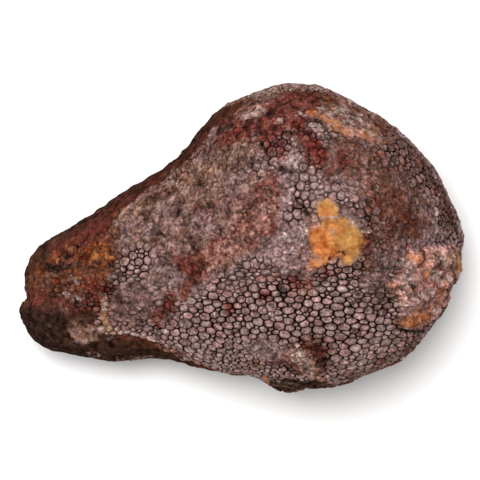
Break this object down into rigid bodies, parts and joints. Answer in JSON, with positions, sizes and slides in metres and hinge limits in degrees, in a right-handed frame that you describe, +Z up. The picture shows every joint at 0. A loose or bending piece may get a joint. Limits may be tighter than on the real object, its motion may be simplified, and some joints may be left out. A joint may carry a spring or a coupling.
{
  "type": "fossil coral head",
  "caption": "Pear-shaped fossil head of a honeycomb coral, covered in close-set polygonal cells, with a smooth wrinkled underside and a flat worn patch to lie on.",
  "frame": {"origin": "on the surface that the fossil lies on, under the centre of its bounding box", "axes": "+X from the narrow end to the big end, +Y across the fossil, +Z up out of the surface it lies on"},
  "size_m": [0.0908, 0.0624, 0.0474],
  "materials": {
    "fossil_stone": "matt, rough, iron-stained limestone with silica in the cells"
  },
  "bodies": {
    "root": {"coral_head": "fossil_stone"}
  },
  "joints": []
}
